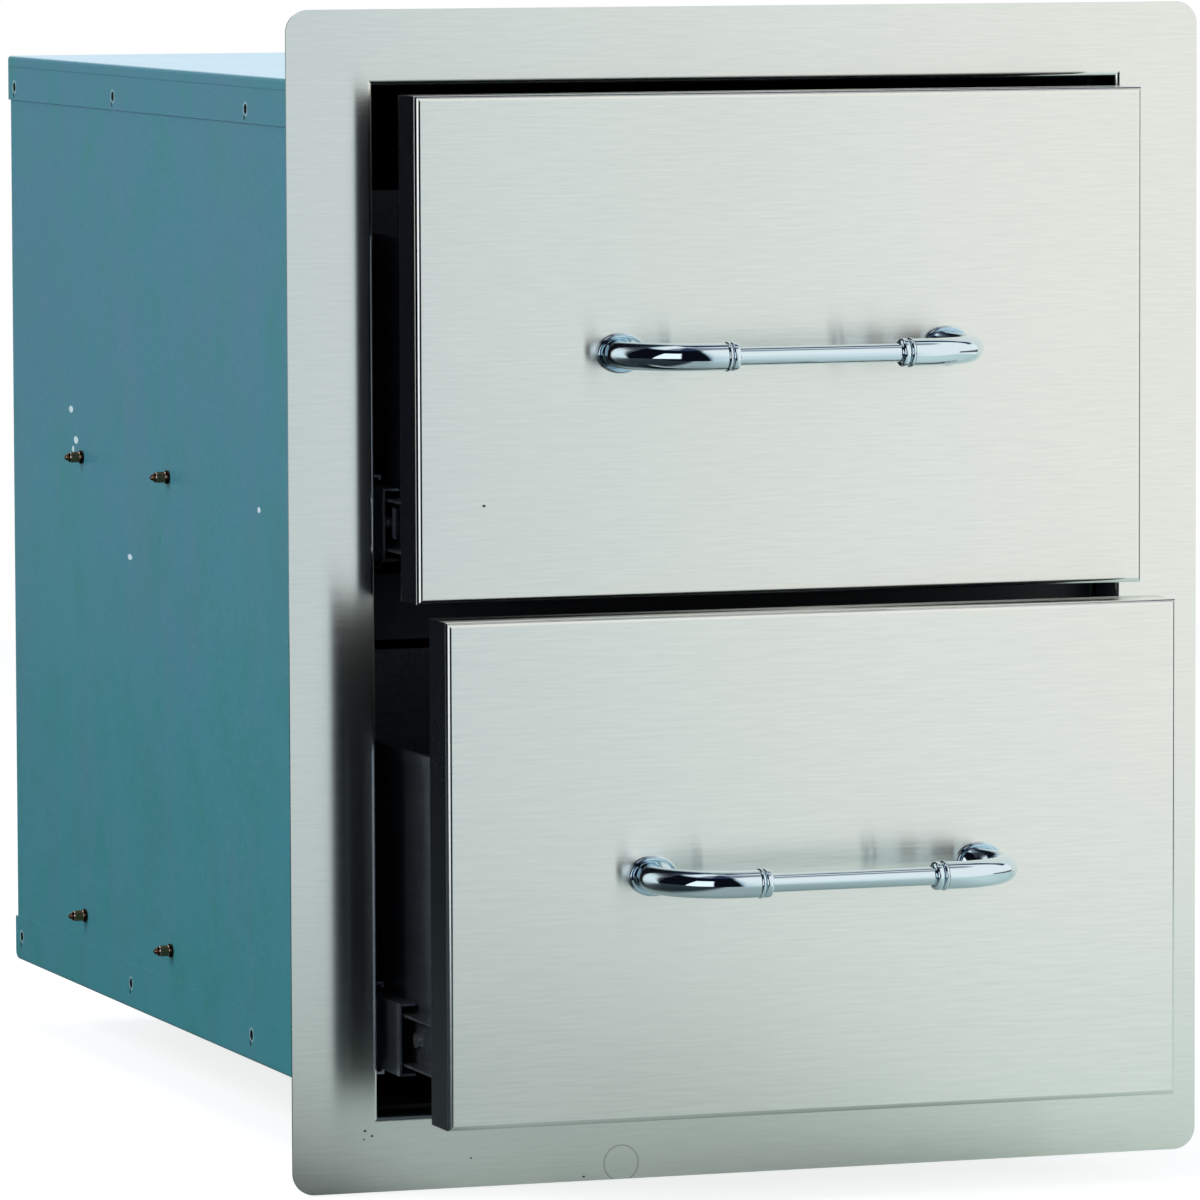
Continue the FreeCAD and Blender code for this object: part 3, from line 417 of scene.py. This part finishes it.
def add_floor():
    mesh = bmesh.new()
    level = CAD_BOX[0][2] - FLOOR_DROP * MM
    middle = [(low + high) / 2 for low, high in zip(FLOOR_LOW, FLOOR_HIGH)]
    halves = [(high - low) / 2 for low, high in zip(FLOOR_LOW, FLOOR_HIGH)]
    place = Matrix.Translation((*middle, level)) @ Matrix.Diagonal((*halves, 1, 1))
    bmesh.ops.create_grid(mesh, x_segments=1, y_segments=1, size=1, matrix=place)
    data = bpy.data.meshes.new("floor")
    mesh.to_mesh(data)
    mesh.free()
    floor = bpy.data.objects.new("floor", data)
    bpy.context.scene.collection.objects.link(floor)
    finish = Finish("pale_floor", Roughness=0.9, Emission_Strength=FLOOR_LIFT)
    seen = finish.add("LightPath", result="Is Camera Ray")
    glossy = finish.add("LightPath", result="Is Glossy Ray")
    clear = finish.add("LightPath", result="Is Transmission Ray")
    dim, bright = (finish.x.ease(start, end) * share for start, end, share in LIT_STEPS)
    lit = dim + bright
    finish.set("Base Color", finish.mixed(glossy * (1 - lit), FLOOR_BASE, FLOOR_SHADE))
    lift = seen.either(glossy * lit * GLOSSY_SHARE).either(clear)
    glow = finish.mixed(glossy, WHITE, FLOOR_TINT)
    finish.set("Emission Color", finish.mixed(lift, BLACK, glow))
    data.materials.append(finish.material)
    return level


print("floor at", round(add_floor(), 4))

# %% [markdown]
# Brushed stainless steel. The sheet is ground in one direction, so its surface is full of
# fine scratches from left to right. Light that bounces off them spreads up and down, which
# the shader's Anisotropic value does. The scratches themselves are two noises, stretched
# many times along the sheet, and on faces that look up or down they count depth instead of
# height. The sides that are folded back are ground less, so they mirror more sharply. A few
# dark specks and one faint round mark sit on the front faces, each as X, Z and radius in
# millimetres. The mark is a pressed ring: a shallow dent in the bump, with painted shade
# darkening its rim.

# %% Brushed steel of the frame and the fronts
STEEL = srgb(237, 239, 234)
STEEL_SHADE = srgb(226, 229, 225)
STEEL_ROUGHNESS = 0.125
SPECK_AND_SHADE = srgb(60, 62, 64)
SPECKS = ((-152.6, 49.5, 0.9), (-198.5, -255.4, 0.8), (-195.0, -258.0, 0.7),
          (-199.2, -259.5, 0.5), (-144.7, -271.3, 0.6), (-87.0, -283.4, 0.7))
MARK_X, MARK_Z, MARK_RADIUS = -67.7, -277.7, 8.8
MARK_DEPTH = 18
SCRATCH_DEPTH = 0.0007
SIDE_CALM = 0.7


def brushed_steel(slot):
    finish = Finish(slot, Metallic=1.0, Anisotropic=0.95, Anisotropic_Rotation=0.25)
    level = finish.facing("z") > 0.7
    across = finish.z + level * (finish.y - finish.z)
    lines = finish.noise(finish.join(finish.x * 40, finish.y * 40, across * 800), 1.0, 3.0, 0.6)
    hair = finish.noise(finish.join(finish.x * 90, finish.y * 90, across * 2400), 1.0, 1.0)
    clouds = finish.noise(finish.place, 6.0, 3.0)
    front = finish.facing("y") > 0.9
    tone = lines * 0.55 + hair * 0.2 + clouds * 0.25
    colour = finish.mixed(tone.ease(0.25, 0.75), STEEL_SHADE, STEEL)
    for x, z, size in SPECKS:
        speck = finish.spot(("x", x), ("z", z), size, size * 0.7)
        colour = finish.mixed(speck * front, colour, SPECK_AND_SHADE)
    # Painted shade along the pressed ring's rim: the dent is darkened in colour as well as in the bump.
    rim = abs(finish.distance(("x", MARK_X), ("z", MARK_Z), MARK_RADIUS, MARK_RADIUS) - 1)
    dent_and_shade = rim.ease(0.07, 0.0) * front
    finish.set("Base Color", finish.mixed(dent_and_shade * 0.4, colour, SPECK_AND_SHADE))
    calm = 1 - finish.facing("x") * SIDE_CALM
    finish.set("Roughness", (STEEL_ROUGHNESS + lines * 0.05 + clouds * 0.05) * calm)
    grooves = (lines * 0.6 + hair * 0.4) * (0.1 + finish.facing("y") * 0.9)
    finish.bump(grooves - dent_and_shade * MARK_DEPTH, SCRATCH_DEPTH * MM)
    return finish


face_steel = brushed_steel("face_steel")
brushed_nodes = ["face_frame"] + [f"{drawer}_front_pan" for drawer in DRAWERS]
paint(face_steel.material, *brushed_nodes)
print("brushed steel on", ", ".join(brushed_nodes))

# %% [markdown]
# The housing is sheet steel with a blue-grey coat, half gloss and a little uneven. A coat
# like that is a dielectric layer: it shows its colour when looked at squarely and turns
# into a mirror for the white room at a grazing angle, as the top does. Here are its tones,
# the dark grey of the inside, which is bare sheet and painted shade, with its place, and the
# marks, all in millimetres: chips as depth, height and two radii, and the plug welds in the
# lips as depth and height.

# %% Colours and marks of the coat
COAT_HIGH = srgb(66, 126, 144)
COAT_LOW = srgb(60, 136, 146)
COAT_GREEN = srgb(52, 130, 128)
COAT_DULL = srgb(90, 122, 146)
COAT_CHIP = srgb(205, 226, 232)
# Pale colour for the dust and for the painted highlight round each weld's rim.
DUST_AND_RIM_HIGHLIGHT = srgb(150, 186, 194)
COAT_LINE = srgb(30, 78, 92)
BURNT = srgb(14, 22, 28)
# Dark grey of the bare inside, which is also painted shade.
BARE_AND_SHADED_INSIDE = srgb(44, 47, 52)
INSIDE_HALF_WIDTH = 189.75
INSIDE_HALF_HEIGHT = 248.3
INSIDE_REAR = 663.2
FRONT_EDGE = 30.3
LEFT_SIDE = -190.0
CHIPS = ((544.7, 61.9, 4.2, 1.9), (535.2, 45.9, 4.2, 2.1), (541.0, 40.6, 2.2, 1.8),
         (431.8, -9.5, 4.4, 1.6), (195.9, 31.6, 2.8, 1.6))
WELD_RADIUS = 2.7
WELDS = ((212.0, 232.0), (455.0, 232.0), (651.0, 232.0),
         (212.0, -235.5), (433.0, -235.5), (651.0, -235.5))
FOLD_LEVEL = 243.0
print("chips", len(CHIPS), "and welds on each side", len(WELDS))

# %% [markdown]
# The coat itself is a stack of soft layers: the tone runs from the bottom to the top, then
# come greenish and dull clouds, dust, the fine line under the top fold, a pale ring of painted
# highlight round each weld's raised rim, a burnt smear beside each weld, and the chips. The
# chips are only on the left. Inside, the sheet is bare and also in shade, so one mask by place
# turns it a dark grey that is painted shade, and duller. An image painted by hand could do
# all this, but it would need an unwrapped mesh, and layers by place don't.

# %% Painted steel of the housing
def weld_marks(finish, colour):
    for depth, level in WELDS:
        away = finish.distance(("y", depth), ("z", level), WELD_RADIUS, WELD_RADIUS)
        # Painted highlight: a pale ring round the weld's raised rim.
        colour = finish.mixed(away.ease(1.55, 1.25) * 0.75, colour, DUST_AND_RIM_HIGHLIGHT)
        smear = finish.spot(("y", depth + 1.5), ("z", level - 4.2), 1.6, 1.6, 0.8)
        colour = finish.mixed(smear * 0.8, colour, BURNT)
    return colour


def chip_marks(finish, colour):
    left = finish.x < LEFT_SIDE * MM
    for depth, level, reach, rise in CHIPS:
        chip = finish.spot(("y", depth), ("z", level), reach, rise)
        colour = finish.mixed(chip * left, colour, COAT_CHIP)
    return colour


def housing_coat(slot):
    finish = Finish(slot, IOR=1.5, Metallic=0.0)
    height = finish.z.ease(-0.25, 0.25)
    clouds = finish.noise(finish.place, 9.0, 4.0, 0.6)
    streaks = finish.noise(finish.join(finish.x * 30, finish.y * 30, finish.z * 4), 1.0, 3.0)
    grain = finish.noise(finish.place, 700.0, 2.0)
    green = finish.noise(finish.place, 22.0, 4.0, 0.65)
    tone = height * 0.6 + clouds * 0.28 + streaks * 0.12
    dull = (clouds * 0.5 + streaks * 0.5).ease(0.42, 0.72)
    fold = abs(finish.z - FOLD_LEVEL * MM).ease(0.7 * MM, 0.1 * MM)
    colour = finish.mixed(tone.ease(0.1, 0.85), COAT_LOW, COAT_HIGH)
    colour = finish.mixed(green.ease(0.42, 0.72) * 0.6, colour, COAT_GREEN)
    colour = finish.mixed(dull * 0.4, colour, COAT_DULL)
    colour = finish.mixed(grain.ease(0.45, 0.8) * 0.16, colour, DUST_AND_RIM_HIGHLIGHT)
    colour = finish.mixed(fold * 0.35, colour, COAT_LINE)
    colour = chip_marks(finish, weld_marks(finish, colour))
    # Painted shade: the inside and the sheets' front edges turn dark grey.
    within = (abs(finish.x) < INSIDE_HALF_WIDTH * MM) * (abs(finish.z) < INSIDE_HALF_HEIGHT * MM)
    inside = (within * (finish.y < INSIDE_REAR * MM)).either(finish.y < FRONT_EDGE * MM)
    finish.set("Base Color", finish.mixed(inside, colour, BARE_AND_SHADED_INSIDE))
    gloss = (0.30 + clouds * 0.10 + grain * 0.05) * (1 - finish.facing("z") * 0.6)
    finish.set("Roughness", gloss + inside * 0.3)
    finish.bump(grain * 0.4 + streaks * 0.6, 0.02 * MM)
    return finish


housing_steel = housing_coat("housing_steel")
paint(housing_steel.material, "left_side_panel", "right_side_panel", "top_cover", "bottom_pan",
      "back_panel", "centre_rail", *(f"{drawer}_front_liner" for drawer in DRAWERS))
print("coat on the housing, the rail and the liners")

# %% [markdown]
# Plain finishes for what sits inside: the drawer boxes' own sheet, the zinc of the slides,
# the balls in their strips and the screws. The burnt metal of the plug welds is made the
# same way. They share one recipe, with rolling marks along the sheet, and a small share of
# plain grey that the lamps can light, since metal alone would show nothing but the dark
# housing round it.

# %% Inner finishes
def sheet_metal(slot, light, shade, roughness, length=0.05):
    """Length is how far a rolling mark reaches, in metres."""
    finish = Finish(slot, Metallic=0.93, Anisotropic=0.4, Anisotropic_Rotation=0.25)
    marks = finish.noise(finish.join(finish.x * 500, finish.y / length, finish.z * 500), 1.0, 2.0)
    clouds = finish.noise(finish.place, 14.0, 3.0)
    finish.set("Base Color", finish.mixed((marks * 0.5 + clouds * 0.5).ease(0.3, 0.7), shade, light))
    finish.set("Roughness", roughness + clouds * 0.12)
    finish.bump(marks, 0.01 * MM)
    return finish


box_steel = sheet_metal("box_steel", srgb(150, 158, 168), srgb(128, 138, 150), 0.24)
slide_zinc = sheet_metal("slide_zinc", srgb(170, 176, 184), srgb(140, 148, 158), 0.14, 0.03)
screw_steel = sheet_metal("screw_steel", srgb(206, 208, 212), srgb(180, 184, 190), 0.2, 0.01)
ball_steel = sheet_metal("ball_steel", srgb(170, 172, 176), srgb(140, 144, 150), 0.18, 0.01)
weld_metal = sheet_metal("weld_metal", srgb(30, 40, 48), srgb(10, 16, 22), 0.5, 0.01)
print("sheet, zinc, screw, ball and weld finishes")

# %% [markdown]
# The bumpers are moulded rubber: nearly black, dull and slightly grained. Fine noise in the
# bump is enough for pieces this small. Then every node inside gets its finish by name.

# %% Rubber, and the inner nodes
def rubber(slot):
    finish = Finish(slot, IOR=1.5)
    grain = finish.noise(finish.place, 1500.0, 2.0)
    finish.set("Base Color", finish.mixed(grain, srgb(18, 18, 19), srgb(34, 34, 36)))
    finish.set("Roughness", 0.7 + grain * 0.15)
    finish.bump(grain, 0.05 * MM)
    return finish


bumper_rubber = rubber("bumper_rubber")
for drawer in DRAWERS:
    paint(box_steel.material, *(f"{drawer}_{piece}" for piece in ("box_tray", "box_front", "box_rear")))
    paint(screw_steel.material, f"{drawer}_slide_screws", f"{drawer}_handle_screws")
    for side in SIDES:
        members = (f"{drawer}_{side}_{piece}_member" for piece in ("cabinet", "middle", "drawer"))
        cages = (f"{drawer}_{side}_{strip}_ball_cage" for strip in ("outer", "inner"))
        paint(slide_zinc.material, *members)
        paint(ball_steel.material, *cages)
paint(weld_metal.material, "plug_welds")
paint(bumper_rubber.material, "slide_bumpers")
print("inner finishes ready")

# %% [markdown]
# Chrome has almost no roughness and no pattern of its own. A faint haze of fine wipe marks
# keeps it from looking like a computer's mirror.

# %% Chrome of the handles
CHROME = srgb(218, 234, 243)
CHROME_HAZE = tuple(level * 0.96 for level in CHROME[:3]) + (1.0,)


def chrome(slot):
    finish = Finish(slot, Metallic=1.0)
    haze = finish.noise(finish.place, 60.0, 3.0)
    finish.set("Base Color", finish.mixed(haze, CHROME, CHROME_HAZE))
    finish.set("Roughness", 0.02 + haze * 0.03)
    return finish


handle_chrome = chrome("handle_chrome")
for drawer in DRAWERS:
    paint(handle_chrome.material, f"{drawer}_handle_bar", f"{drawer}_handle_collars",
          *(f"{drawer}_{side}_handle_post" for side in SIDES))
print("chrome on the handles")

# %% [markdown]
# The rivets are plated bronze-brown. Their foot carries painted shade, and three bands carry a
# painted highlight: just above the foot, at the shoulder and at the tip. The bands are counted
# outwards from the housing's sheet, as shares of a rivet's length, so one finish fits all twelve.

# %% Rivet finish
RIVET_FOOT = 190.5
RIVET_REACH = 10.0
FOOT_SHADE_END = (0.18, 0.22)
HIGHLIGHT_BANDS = ((0.19, 0.26), (0.64, 0.74), (0.90, 1.1))
BAND_EDGE = 0.04
DARK_BRONZE = srgb(172, 118, 84)
HIGHLIGHT_BRONZE = srgb(236, 226, 212)
BROWN = srgb(66, 48, 38)


def rivet_finish(slot):
    finish = Finish(slot, Metallic=1.0)
    out = (abs(finish.x) / MM - RIVET_FOOT) / RIVET_REACH
    haze = finish.noise(finish.place, 400.0, 2.0)
    # Painted shade: the foot is brown up to where the barrel's bronze begins.
    colour = finish.mixed(out.ease(*FOOT_SHADE_END), BROWN, DARK_BRONZE)
    # Painted highlights: three pale bands along each rivet.
    for start, end in HIGHLIGHT_BANDS:
        highlight = out.ease(start, start + BAND_EDGE) * out.ease(end, end - BAND_EDGE)
        colour = finish.mixed(highlight, colour, HIGHLIGHT_BRONZE)
    finish.set("Base Color", finish.mixed(haze * 0.3, colour, BROWN))
    finish.set("Roughness", 0.20 + haze * 0.1)
    return finish


rivet_steel = rivet_finish("rivet_steel")
paint(rivet_steel.material, "slide_rivets")
print("bands on a rivet", len(HIGHLIGHT_BANDS))

# %% [markdown]
# New pieces start as outlines and rings. A turned part is an outline of points, each with a
# distance along the axis and a radius, that spin carries once round. A cast elbow starts as
# a row of rings that bridge_loops joins. Both end in the same helper, which turns the mesh
# into an object at the origin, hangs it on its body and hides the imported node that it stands
# for.

# %% Mesh helpers
RING_SIDES = 48
SHARP_ANGLE = math.radians(50)


def make_piece(name, mesh, finish, body, replaced):
    bmesh.ops.recalc_face_normals(mesh, faces=mesh.faces)
    data = bpy.data.meshes.new(name)
    mesh.to_mesh(data)
    mesh.free()
    data.shade_smooth()
    data.set_sharp_from_angle(angle=SHARP_ANGLE)
    data.materials.append(finish.material)
    made = bpy.data.objects.new(name, data)
    bpy.context.scene.collection.objects.link(made)
    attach(made, body)
    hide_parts(replaced)
    return len(data.polygons)


def arc(centre, radius, start, end, steps):
    """Points along part of a circle in an outline. Angles are in degrees from the axis."""
    turns = [math.radians(start + (end - start) * step / steps) for step in range(steps + 1)]
    return [(centre[0] + radius * math.cos(turn), centre[1] + radius * math.sin(turn)) for turn in turns]


def turn_outline(mesh, outline, place, steps):
    """Spin an outline about X. Each point is a distance along X and a radius, in millimetres."""
    others = set(mesh.verts)
    corners = [mesh.verts.new((along * MM, radius * MM, 0)) for along, radius in outline]
    edges = [mesh.edges.new(pair) for pair in zip(corners, corners[1:])]
    bmesh.ops.spin(mesh, geom=corners + edges, cent=(0, 0, 0), axis=(1, 0, 0), angle=math.tau,
                   steps=steps, use_merge=True)
    bmesh.ops.remove_doubles(mesh, verts=[vert for vert in mesh.verts if vert not in others], dist=1e-6)
    bmesh.ops.transform(mesh, matrix=place, verts=[vert for vert in mesh.verts if vert not in others])


def add_ring(mesh, centre, half_x, half_z):
    """A ring of vertices round the Y axis, as an ellipse. It comes back as its edges."""
    matrix = (Matrix.Translation([length * MM for length in centre])
              @ Matrix.Diagonal((half_x * MM, 1, half_z * MM, 1)) @ Matrix.Rotation(math.pi / 2, 4, "X"))
    ring = bmesh.ops.create_circle(mesh, segments=RING_SIDES, radius=1, matrix=matrix)
    return list({edge for vert in ring["verts"] for edge in vert.link_edges})


print("helpers ready")

# %% [markdown]
# The handle's end posts are castings: an oval rosette on the drawer's front, a dome that
# flares into a tube, and a bend of a quarter turn towards the bar. The rosette and dome are
# a row of oval rings, each with its distance from the front, its two radii and its shift
# inwards. The bend is the last ring, spun about the bend's centre, and the straight end is
# that ring again, extruded along the bar. The plated steps of the rosette matter, because
# each one shows as a thin dark and a thin white line.

# %% Handle posts
BEND = 33.0
STAND_OFF = 48.0
POST_STEPS = 20
ROSETTE_HALF = 12.3
OFFSET = 4.5
ROSETTE = (
    (0.0, 11.5, 8.9, OFFSET),
    (0.5, 11.6, 9.0, OFFSET),
    (0.7, 12.2, 9.6, OFFSET),
    (0.9, ROSETTE_HALF, 9.7, OFFSET),
    (1.4, ROSETTE_HALF, 9.7, OFFSET),
    (1.8, 12.1, 9.5, OFFSET),
    (2.2, 11.6, 9.0, OFFSET),
    (2.0, 11.2, 8.6, OFFSET),
    (1.0, 10.8, 8.3, OFFSET),
    (1.1, 10.3, 8.0, OFFSET),
    (2.2, 10.1, 7.9, OFFSET),
    (2.6, 9.6, 7.7, OFFSET),
    (3.4, 8.7, 7.3, 4.35),
    (4.6, 8.1, 7.0, 3.7),
    (6.4, 7.6, 6.85, 2.6),
    (8.6, 7.15, 6.7, 1.5),
    (11.2, 6.8, 6.62, 0.5),
    (STAND_OFF - BEND, 6.6, 6.6, 0.0),
)


def handle_post(drawer, side, sign):
    post = bmesh.new()
    rings = [add_ring(post, (inwards, -out, 0), half_x, half_z)
             for out, half_x, half_z, inwards in ROSETTE]
    bmesh.ops.contextual_create(post, geom=rings[0])
    for inner, outer in zip(rings, rings[1:]):
        bmesh.ops.bridge_loops(post, edges=inner + outer)
    name = f"{drawer}_{side}_handle_post"
    cad_low, cad_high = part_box(name)
    centre = Vector((BEND * MM, -(STAND_OFF - BEND) * MM, 0))
    bend = bmesh.ops.spin(post, geom=rings[-1], cent=centre, axis=(0, 0, 1), angle=math.pi / 2,
                          steps=POST_STEPS)
    end = [edge for edge in bend["geom_last"] if isinstance(edge, bmesh.types.BMEdge)]
    outer, inner = (cad_low.x, cad_high.x) if sign < 0 else (cad_high.x, cad_low.x)
    foot = outer - sign * (ROSETTE_HALF - OFFSET) * MM
    reach = abs(inner - foot) - BEND * MM
    tube = bmesh.ops.extrude_edge_only(post, edges=end)
    verts = [vert for vert in tube["geom"] if isinstance(vert, bmesh.types.BMVert)]
    bmesh.ops.translate(post, verts=verts, vec=(reach, 0, 0))
    rim = [edge for edge in tube["geom"] if isinstance(edge, bmesh.types.BMEdge)]
    bmesh.ops.contextual_create(post, geom=[edge for edge in rim if edge.is_boundary])
    middle = (cad_low.z + cad_high.z) / 2
    matrix = Matrix.Translation((foot, cad_high.y, middle)) @ Matrix.Diagonal((-sign, 1, 1, 1))
    bmesh.ops.transform(post, matrix=matrix, verts=post.verts)
    return make_piece(f"{name}_cast", post, handle_chrome, f"{drawer}_drawer", name)


for drawer in DRAWERS:
    for side, sign in zip(SIDES, (-1, 1)):
        print(drawer, side, "post faces", handle_post(drawer, side, sign))

# %% [markdown]
# A collar covers the joint between post and bar. It is turned in one piece: a thin bead
# against the post, a groove, and a wider smooth ring that rounds down to the bar. Round
# outlines catch the window as a curved stripe, which a chamfered disc can't do.

# %% Handle collars
BAR = 8.8
COLLAR_STEPS = 40
COLLAR = (
    [(0.0, 6.3)]
    + arc((1.2, 5.99), 1.2, 180, 10, 10)
    + [(2.5, 5.7), (2.65, 5.7)]
    + arc((3.6, 5.9), 0.95, 165, 90, 4)
    + arc((5.0, 5.45), 1.4, 90, 10, 6)
    + [(6.5, 5.2), (6.5, BAR / 2)]
)


def handle_collars(drawer):
    pair = bmesh.new()
    name = f"{drawer}_handle_collars"
    low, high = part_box(name)
    middle = (low + high) / 2
    for sign in (-1, 1):
        end = low.x if sign < 0 else high.x
        place = Matrix.Translation((end, middle.y, middle.z)) @ Matrix.Diagonal((-sign, 1, 1, 1))
        turn_outline(pair, COLLAR, place, COLLAR_STEPS)
    return make_piece(f"{name}_turned", pair, handle_chrome, f"{drawer}_drawer", name)


for drawer in DRAWERS:
    print(drawer, "collar faces", handle_collars(drawer))

# %% [markdown]
# Blind rivets hold the slides. What shows outside the housing is the tail: a flared ring
# against the sheet, a barrel with a slight waist, a rounded shoulder, a fine groove and a
# rounded tip. The shank goes through the sheet and the slide to a low head inside. All
# twelve are one piece, turned from one outline with few steps, because they are small.

# %% Slide rivets
RIVET = (
    [(10.0, 0.0), (9.95, 0.45), (9.7, 0.9), (9.3, 1.3), (8.8, 1.62), (8.45, 1.75)]
    + [(8.3, 1.68), (8.1, 1.72), (7.95, 1.95)]
    + arc((6.4, 1.45), 1.4, 35, 90, 5)
    + [(5.2, 2.9), (3.9, 2.9), (2.8, 2.85), (2.2, 2.95), (1.8, 3.2)]
    + arc((1.05, 3.3), 0.45, 60, 180, 6)
    + [(0.0, 3.45)]
)
RIVET_DEPTHS = (62.0, 358.5, 523.0)
RIVET_STEPS = 20
SHANK = [(0.0, 2.35), (-2.2, 2.35), (-2.2, 4.5), (-2.6, 4.5), (-3.2, 3.25), (-3.2, 0.0)]


def slide_rivets():
    rivets = bmesh.new()
    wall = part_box("right_side_panel")[1].x
    for drawer in DRAWERS:
        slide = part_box(f"{drawer}_left_cabinet_member")
        level = (slide[0].z + slide[1].z) / 2
        for depth in RIVET_DEPTHS:
            for sign in (-1, 1):
                place = (Matrix.Translation((sign * wall, depth * MM, level))
                         @ Matrix.Diagonal((sign, 1, 1, 1)))
                turn_outline(rivets, RIVET + SHANK, place, RIVET_STEPS)
    return make_piece("slide_rivets_turned", rivets, rivet_steel, "housing", "slide_rivets")


print("rivet faces", slide_rivets())
